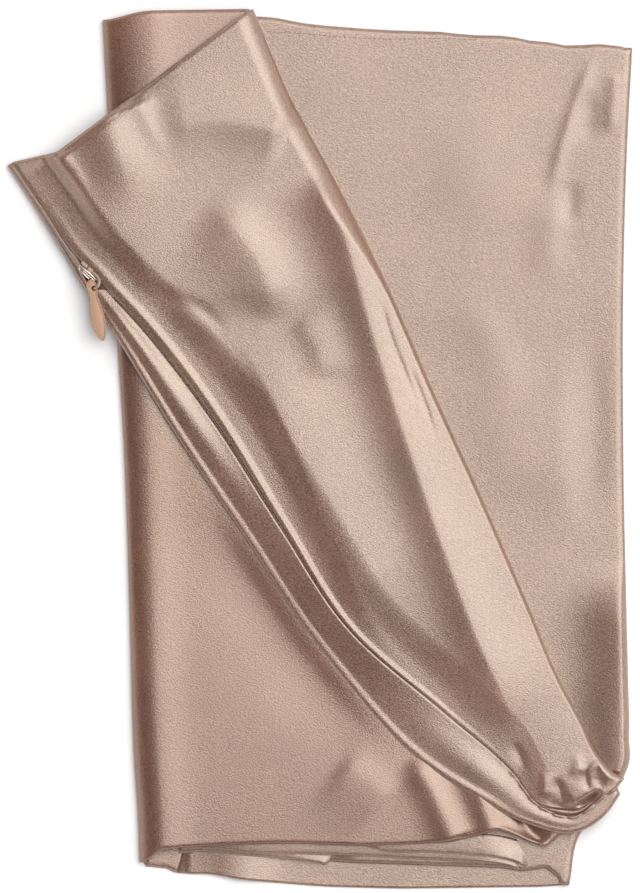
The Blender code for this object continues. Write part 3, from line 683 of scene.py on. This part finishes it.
def groove_rows(at, lip, near):
    """The zip's groove from the flap's lip to the band, with the slit and hollow in its floor."""
    z = flap_base(at.zip_line) + gathers_height(at.zip_line) * GROOVE_FLOOR["gathers"] - at.groove_depth
    towards_lip = (GROOVE_FLOOR["lip_side"] + GROOVE_FLOOR["past_lip_in_hollow"] * at.hollow)[:, None]
    off_lip = at.to_edge * (GROOVE_FLOOR["off_lip_in_slit"] * at.slit)[:, None]
    by_lip = at_heights(at.zip_line + (lip[:, :2] - at.zip_line) * towards_lip + off_lip, z)
    by_lip[:, 2] += GROOVE_FLOOR["raised_in_slit"] * at.slit
    towards_band = at.band_gap * GROOVE_FLOOR["band_side"] * (1.0 + at.slit)
    by_band = at_heights(at.zip_line + at.to_edge * towards_band[:, None], z)
    on_floor = []
    for way_across, rise in HOLLOW_FLOOR:
        station = by_lip * (1.0 - way_across) + by_band * way_across
        station[:, 2] += rise * at.hollow
        on_floor.append(station)
    down = between(lip, on_floor[0], GROOVE_STEPS)
    up = between(on_floor[-1], near, GROOVE_STEPS)
    return np.concatenate([down, np.stack(on_floor, axis=1), up, near[:, None]], axis=1)


def rim_rows(at, crown_z):
    """The band's rounded outer rim and the cloth that is tucked under it."""
    thinner = 1.0 - RIM["thinner_at_slit"] * at.slit
    below = np.minimum(RIM["below"], MOST_OF_BAND["rim_below"] * at.band_width) * thinner
    drop = blend(TUCK_DROP["at_tip"], TUCK_DROP["beyond"], eased_over(at.share, TUCK_DROP["over"]))
    drop = np.maximum(drop, TUCK_DROP["least"] - at.band_profile[:, 2])
    tuck_z = flap_base(at.edge) - drop - at.band_drop
    middle = (tuck_z + crown_z) / 2 - RIM["lower"]
    rim = rounded(at.edge, -at.to_edge, tuck_z, middle, crown_z, below, at.rim_reach)[:, ::-1]
    room = at.band_width - at.band_gap - below - TUCK["margin"]
    inwards = below + np.clip(room, TUCK["shortest"], TUCK["longest"])
    tuck = at_heights(at.edge - at.to_edge * inwards[:, None], tuck_z)
    return rim, tuck[:, None]


def flap_rows(at, low):
    """The flap from the diagonal fold, which starts low, to the groove, then the band and its rim."""
    tight = eased_over(at.share, DIAGONAL_FOLD_AT_TOP["over"])
    fold_reach = blend(DIAGONAL_FOLD_AT_TOP["reach_above"], DIAGONAL_FOLD["reach_above"], tight)
    fold_reach = np.minimum(fold_reach, MOST_OF_FLAP["fold"] * at.across)
    flap = flap_surface(at, fold_reach)
    fold = rounded(
        at.diagonal, at.into_flap, low, low + DIAGONAL_FOLD["rise"], flap[:, 0, 2],
        DIAGONAL_FOLD["reach_below"], fold_reach,
        blend(DIAGONAL_FOLD_AT_TOP["bulge"], DIAGONAL_FOLD["bulge"], tight),
    )
    near, band, crown_z = band_rows(at)
    rim, tuck = rim_rows(at, crown_z)
    return fold[:, 1:-1], flap, groove_rows(at, flap[:, -1], near), band, rim, tuck


def link_object(name, data):
    thing = bpy.data.objects.new(name, data)
    bpy.context.scene.collection.objects.link(thing)
    return thing


def new_piece(name, verts, faces, material):
    mesh = bpy.data.meshes.new(name)
    mesh.from_pydata((np.array(verts) * MM).tolist(), [], faces)
    piece = link_object(name, mesh)
    mesh.materials.append(material)
    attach(piece, "root")
    return piece


def add_cloth(name, points, material, thickness=CLOTH_THICKNESS):
    """A thin sheet of quads through rows of points."""
    rows, stations = points.shape[:2]
    corner = np.arange(rows * stations).reshape(rows, stations)
    quads = np.stack([corner[:-1, :-1], corner[1:, :-1], corner[1:, 1:], corner[:-1, 1:]], axis=-1)
    piece = new_piece(name, points.reshape(-1, 3), quads.reshape(-1, 4).tolist(), material)
    piece.data.shade_smooth()
    shell = piece.modifiers.new("cloth thickness", "SOLIDIFY")
    shell.thickness = thickness * MM
    shell.offset = 0.0
    return piece


def make_panel_edges(material):
    """Thin strips between the middle and the top layer."""
    strips = []
    across = np.linspace(0.0, 1.0, PANEL_EDGE["stations"])[None, :]
    for name, lift, edge in PANEL_EDGES:
        line = smooth_path(edge, PANEL_EDGE["steps"])
        xy = line[:, None, :] + np.array([0.0, PANEL_EDGE["depth"]]) * (1.0 - across)[..., None]
        curl = PANEL_EDGE["curl"] * across**6
        to_end = (line[:, 0].max() - line[:, 0])[:, None]
        kept = across**2 * eased(to_end / PANEL_EDGE["edge_taper"])
        sunk = (1.0 - eased(to_end / PANEL_EDGE["end_taper"])) * (lift + PANEL_EDGE["sinks"]) * (1.0 - kept)
        base = blend(PANEL_EDGE["low"], MIDDLE_LAYER_HEIGHT, eased_over(xy[..., 0], PANEL_EDGE["over"]))
        points = at_heights(xy, base + lift - curl - sunk)
        strips.append(add_cloth(name, points, material, PANEL_EDGE["thickness"]))
    return strips


def add_tube(faces, first, rings, sides, closed=False):
    """The faces of a tube through rings of points, with flat ends unless it is closed."""
    for ring in range(rings if closed else rings - 1):
        here = first + ring * sides
        there = first + (ring + 1) % rings * sides
        for side in range(sides):
            after = (side + 1) % sides
            faces.append((here + side, here + after, there + after, there + side))
    if not closed:
        last = first + (rings - 1) * sides
        faces.append(tuple(first + side for side in reversed(range(sides))))
        faces.append(tuple(last + side for side in range(sides)))


def add_rings(verts, faces, centres, across, upright, sides, closed=False):
    """A tube round a line of centres, given its half width and half height at each as vectors."""
    add_tube(faces, len(verts), len(centres), sides, closed)
    for centre, side, up in zip(centres, across, upright):
        for angle in np.linspace(0.0, 2 * math.pi, sides, endpoint=False):
            verts.append(centre + side * math.cos(angle) + up * math.sin(angle))


def make_stitches(material):
    """A row of short raised threads along the top hem."""
    line = smooth_path(STITCH_ROW, STITCH["row_steps"])
    run = length_along(line)
    swell = np.sin(np.linspace(0.0, math.pi, STITCH["rings"]))
    half = STITCH["width"] / 2 * blend(STITCH["end_size"], 1.0, swell)[:, None]
    across = half * np.array([0.0, 1.0, 0.0])
    upright = half * np.array([0.0, 0.0, STITCH["flatness"]])
    verts = []
    faces = []
    for start in np.arange(0.0, run[-1] - STITCH["length"], STITCH["pitch"]):
        along = np.linspace(start, start + STITCH["length"], STITCH["rings"])
        xy = np.stack([np.interp(along, run, line[:, 0]), np.interp(along, run, line[:, 1])], axis=1)
        centres = at_heights(xy, middle_height(xy) + CLOTH_THICKNESS / 2 + STITCH["rise"] * swell)
        add_rings(verts, faces, centres, across, upright, STITCH["sides"])
    piece = new_piece("case_hem_stitches", verts, faces, material)
    piece.data.shade_smooth()
    return piece


def add_rod(verts, faces, radius, flatness, points, closed=False, sides=12):
    """A round bar along a path, with domed ends unless the path is closed."""
    if closed:
        path = np.array(points, dtype=float)
        run = np.roll(path, -1, axis=0) - np.roll(path, 1, axis=0)
        sizes = np.full((len(path), 1), radius)
    else:
        path = smooth_path(points, ROD["steps"])
        run = np.gradient(path, axis=0)
        ends = unit(run[[0, -1]]) * radius * ROD["end_reach"]
        path = np.concatenate([path[:1] - ends[:1], path, path[-1:] + ends[1:]])
        run = np.concatenate([run[:1], run, run[-1:]])
        sizes = np.full((len(path), 1), radius)
        sizes[[0, -1]] *= ROD["end_size"]
    run = unit(run)
    across = unit(np.cross(run, np.array(ROD["up"])))
    upright = np.cross(across, run) * flatness
    add_rings(verts, faces, path, across * sizes, upright * sizes, sides, closed)


def add_block(verts, faces, x, y, long_side, short_side, underside, top):
    """A block with chamfered upright corners and top edges."""
    turn = math.radians(SLIDER_HEADING)
    along = np.array([math.cos(turn), math.sin(turn), 0.0])
    across = np.array([-math.sin(turn), math.cos(turn), 0.0])
    cut = BLOCK_CHAMFER * BLOCK_CORNER
    rings = ((0.0, underside), (0.0, top - BLOCK_CHAMFER), (BLOCK_CHAMFER, top))
    add_tube(faces, len(verts), len(rings), 8)
    for inset, z in rings:
        long = long_side / 2 - inset
        wide = short_side / 2 - inset
        outline = (
            (long - cut, -wide), (long, -wide + cut), (long, wide - cut), (long - cut, wide),
            (-long + cut, wide), (-long, wide - cut), (-long, -wide + cut), (-long + cut, -wide),
        )
        for forwards, sideways in outline:
            verts.append(np.array([x, y, z]) + forwards * along + sideways * across)


def make_slider_piece(name, blocks, rods, material):
    verts = []
    faces = []
    for block in blocks:
        add_block(verts, faces, *block)
    flat_faces = len(faces)
    for radius, flatness, points in rods:
        add_rod(verts, faces, radius, flatness, points)
    piece = new_piece(name, verts, faces, material)
    for polygon in piece.data.polygons[flat_faces:]:
        polygon.use_smooth = True
    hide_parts("zip_slider")


def pull_blade(outline):
    """The points and faces of the pull's flat body, with its eye and its bevelled edges."""
    angles = np.linspace(0.0, 2 * math.pi, PULL_EYE["steps"], endpoint=False)
    eye = np.stack([np.cos(angles), np.sin(angles)], axis=1) * PULL_EYE["radius"]
    eye += np.array([PULL_EYE["x"], PULL_EYE["y"]])
    curve = bpy.data.curves.new("pull outline", "CURVE")
    curve.dimensions = "2D"
    curve.fill_mode = "BOTH"
    curve.bevel_depth = PULL["bevel"]
    curve.bevel_resolution = 2
    curve.offset = -PULL["bevel"]
    curve.extrude = PULL["thickness"] / 2 - PULL["bevel"]
    for ring in (outline, eye):
        spline = curve.splines.new("POLY")
        spline.points.add(len(ring) - 1)
        corners = np.column_stack([ring, np.zeros(len(ring)), np.ones(len(ring))])
        spline.points.foreach_set("co", corners.ravel())
        spline.use_cyclic_u = True
    helper = bpy.data.objects.new("pull outline", curve)
    blade = bpy.data.meshes.new_from_object(helper)
    verts = [np.array(vertex.co) for vertex in blade.vertices]
    faces = [tuple(polygon.vertices) for polygon in blade.polygons]
    bpy.data.objects.remove(helper)
    bpy.data.curves.remove(curve)
    bpy.data.meshes.remove(blade)
    return verts, faces


def make_pull(material):
    """A flat blade with a hole in its head and a low rim."""
    steps = PULL["outline_steps"]
    looped = PULL_OUTLINE[-2:] + PULL_OUTLINE + PULL_OUTLINE[:3]
    outline = smooth_path(looped, steps)[2 * steps : (2 + len(PULL_OUTLINE)) * steps]
    verts, faces = pull_blade(outline)
    run = unit(np.roll(outline, -1, axis=0) - np.roll(outline, 1, axis=0))
    inwards = np.stack([-run[:, 1], run[:, 0]], axis=1)
    rim = np.column_stack([outline + inwards * PULL_RIM["inset"], np.full(len(outline), PULL_RIM["raised"])])
    add_rod(verts, faces, PULL_RIM["radius"], 1.0, rim, True, PULL_RIM["sides"])
    for vertex in verts:
        down = (PULL_EYE["y"] - vertex[1]) / (PULL_EYE["y"] - PULL_TIP_Y)
        vertex[2] += blend(PULL_HEIGHT["at_eye"], PULL_HEIGHT["at_tip"], down)
    pull = new_piece("case_zip_pull", verts, faces, material)
    weld = pull.modifiers.new("weld", "WELD")
    weld.merge_threshold = PULL["weld_within"] * MM
    pull.data.shade_smooth()
    pull.data.set_sharp_from_angle(angle=math.radians(PULL["sharp_angle"]))
    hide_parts("zip_pull")


def make_cloth(material, shaded_copy):
    """The three pieces of the sheet, with the strips and stitches that lie on them."""
    at = row_lines(row_shares())
    bottom, right_fold, middle, left_fold, above = packet_rows(at)
    lower = np.concatenate([bottom, right_fold, middle[:, : MIDDLE_STEPS + 1]], axis=1)
    upper = np.concatenate([middle[:, MIDDLE_STEPS:], left_fold, above[:, : TOP_STEPS + 1]], axis=1)
    flap = np.concatenate([above[:, TOP_STEPS:], *flap_rows(at, above[:, -1, 2])], axis=1)
    layers = add_cloth("case_lower_layers", lower, material)
    # The top layer takes the darker copy of the satin: painted shade.
    top = add_cloth("case_top_layer", upper, shaded_copy)
    turned_back = add_cloth("case_flap", flap, material)
    for piece in (layers, top, turned_back):
        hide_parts("pillowcase")
    edges = make_panel_edges(material)
    stitches = make_stitches(thread_material())


class Nodes:
    """The nodes of a material or a world, with short ways to add, set and link them."""

    def __init__(self, owner, shader):
        owner.use_nodes = True
        self.owner = owner
        self.tree = owner.node_tree
        self.shader = self.tree.nodes[shader]

    def put(self, node, key, value):
        if isinstance(value, bpy.types.NodeSocket):
            self.tree.links.new(value, node.inputs[key])
        else:
            node.inputs[key].default_value = value

    def set(self, node, **inputs):
        for key, value in inputs.items():
            self.put(node, key.replace("_", " "), value)

    def add(self, kind, **inputs):
        node = self.tree.nodes.new(kind)
        self.set(node, **inputs)
        return node

    def grain(self, turn, scale, start):
        """Noise over the object: its turn about Z, its cells in a metre along each axis and its start."""
        place = self.add("ShaderNodeTexCoord")
        mapped = self.add(
            "ShaderNodeMapping", Vector=place.outputs["Object"], Rotation=(0.0, 0.0, math.radians(turn)),
            Scale=scale, Location=start,
        )
        noise = self.add("ShaderNodeTexNoise", Vector=mapped.outputs["Vector"], Scale=1.0, Detail=2.0)
        return noise.outputs["Fac"]

    def ramp(self, amount, dark, light, start=0.0, end=1.0):
        """Colours from dark to light as the amount goes from start to end."""
        node = self.add("ShaderNodeValToRGB", Fac=amount)
        for stop, position, colour in zip(node.color_ramp.elements, (start, end), (dark, light)):
            stop.position = position
            stop.color = (*colour, 1.0)
        return node.outputs["Color"]

    def relief(self, height, strength, distance):
        node = self.add("ShaderNodeBump", Height=height, Strength=strength, Distance=distance)
        return node.outputs["Normal"]


def satin_material(name, dark, light, tint):
    """Satin has a dark base and gets its light tone from a tinted reflection and a little sheen."""
    nodes = Nodes(bpy.data.materials.new(name), "Principled BSDF")
    fine = nodes.grain(28.0, (1000.0, 1700.0, 1500.0), (3.0, 5.0, 7.0))
    broad = nodes.grain(0.0, (22.0,) * 3, (1.0, 2.0, 3.0))
    mixed = nodes.add("ShaderNodeMath")
    mixed.operation = "MULTIPLY_ADD"
    for key, value in enumerate((broad, BROAD_GRAIN_WEIGHT, fine)):
        nodes.put(mixed, key, value)
    nodes.set(
        nodes.shader,
        Base_Color=nodes.ramp(mixed.outputs["Value"], dark, light, start=0.47, end=0.78),
        Normal=nodes.relief(fine, strength=0.8, distance=0.00022),
        Roughness=0.33, IOR=2.6, Specular_Tint=(*tint, 1.0),
        Sheen_Weight=0.25, Sheen_Roughness=0.35, Sheen_Tint=(1.0, 0.68, 0.52, 1.0),
    )
    return nodes.owner


def plain_material(name, dark, light, scale, start=(0.0, 0.0, 0.0), turn=0.0, strength=0.0, **looks):
    """A surface whose colour and relief follow the same fine grain."""
    nodes = Nodes(bpy.data.materials.new(name), "Principled BSDF")
    fine = nodes.grain(turn, scale, start)
    if strength:
        looks["Normal"] = nodes.relief(fine, strength, distance=0.0001)
    nodes.set(nodes.shader, Base_Color=nodes.ramp(fine, dark, light), **looks)
    return nodes.owner


def thread_material():
    return plain_material(
        "sewing thread", (0.24, 0.135, 0.105), (0.36, 0.225, 0.18), (1500.0, 3000.0, 1500.0),
        start=(2.0, 1.0, 0.0), turn=20.0, strength=0.3, Roughness=0.6,
    )


def zip_lacquer_material():
    return plain_material(
        "zip lacquer", (0.34, 0.225, 0.17), (0.46, 0.32, 0.25), (900.0,) * 3,
        strength=0.1, Metallic=0.2, Roughness=0.4,
    )


def zip_metal_material():
    return plain_material(
        "zip bright metal", (0.55, 0.46, 0.4), (0.75, 0.66, 0.59), (900.0,) * 3,
        strength=0.1, Metallic=0.85, Roughness=0.3,
    )


def zip_enamel_material():
    return plain_material(
        "zip enamel", (0.44, 0.26, 0.165), (0.52, 0.32, 0.21), (1100.0,) * 3,
        strength=0.12, Metallic=0.1, Roughness=0.42,
    )


def floor_material():
    return plain_material(
        "floor", (0.985,) * 3, (0.995,) * 3, (300.0,) * 3,
        Roughness=0.9, Specular_IOR_Level=0.0,
    )


def make_floor():
    mesh = bpy.data.meshes.new("floor")
    half = FLOOR_HALF_WIDTH
    corners = [(-half, -half, 0.0), (half, -half, 0.0), (half, half, 0.0), (-half, half, 0.0)]
    mesh.from_pydata(corners, [], [(0, 1, 2, 3)])
    ground = link_object("floor", mesh)
    mesh.materials.append(floor_material())
    return ground


def make_camera():
    camera = bpy.data.cameras.new("camera")
    camera.lens = CAMERA["lens"]
    camera.sensor_width = CAMERA["sensor"]
    camera.clip_end = CAMERA["clip_end"]
    placed = link_object("camera", camera)
    distance = VIEW["image_height"] * VIEW["mm_per_pixel"] * CAMERA["lens"] / CAMERA["sensor"]
    placed.location = (VIEW["x"] * MM, VIEW["y"] * MM, distance * MM)
    bpy.context.scene.camera = placed


def make_softbox():
    light = bpy.data.lights.new("key softbox", "AREA")
    light.shape = "DISK"
    light.size = SOFTBOX["size"]
    light.energy = SOFTBOX["power"]
    towards = mathutils.Vector(SOFTBOX["direction"]).normalized()
    placed = link_object("key softbox", light)
    placed.location = towards * SOFTBOX["distance"]
    placed.rotation_euler = towards.to_track_quat("Z", "Y").to_euler()


def make_studio():
    """Bright walls and a dim ceiling, which the cloth reflects, and the camera's even pale backdrop."""
    nodes = Nodes(bpy.data.worlds.new("studio"), "Background")
    direction = nodes.add("ShaderNodeTexCoord")
    split = nodes.add("ShaderNodeSeparateXYZ", Vector=direction.outputs["Generated"])
    walls = nodes.add(
        "ShaderNodeMapRange", Value=split.outputs["Z"],
        From_Min=STUDIO["wall_top"], From_Max=STUDIO["ceiling"],
        To_Min=STUDIO["wall_level"], To_Max=STUDIO["ceiling_level"],
    )
    walls.interpolation_type = "SMOOTHSTEP"
    ray = nodes.add("ShaderNodeLightPath")
    level = nodes.add(
        "ShaderNodeMix", Factor=ray.outputs["Is Camera Ray"], A=walls.outputs["Result"],
        B=STUDIO["backdrop_level"],
    )
    nodes.set(nodes.shader, Color=STUDIO["colour"], Strength=level.outputs["Result"])
    bpy.context.scene.world = nodes.owner
    bpy.context.scene.view_settings.view_transform = "Standard"


floor = make_floor()
make_cloth(satin_material("satin", **SATIN), satin_material("satin top layer painted shade", **SHADED_SATIN_COPY))
make_slider_piece("case_zip_slider", SLIDER_BLOCKS, SLIDER_HOOK, zip_lacquer_material())
make_slider_piece("case_zip_bars", (), SLIDER_BARS, zip_metal_material())
make_pull(zip_enamel_material())
make_camera()
make_softbox()
make_studio()
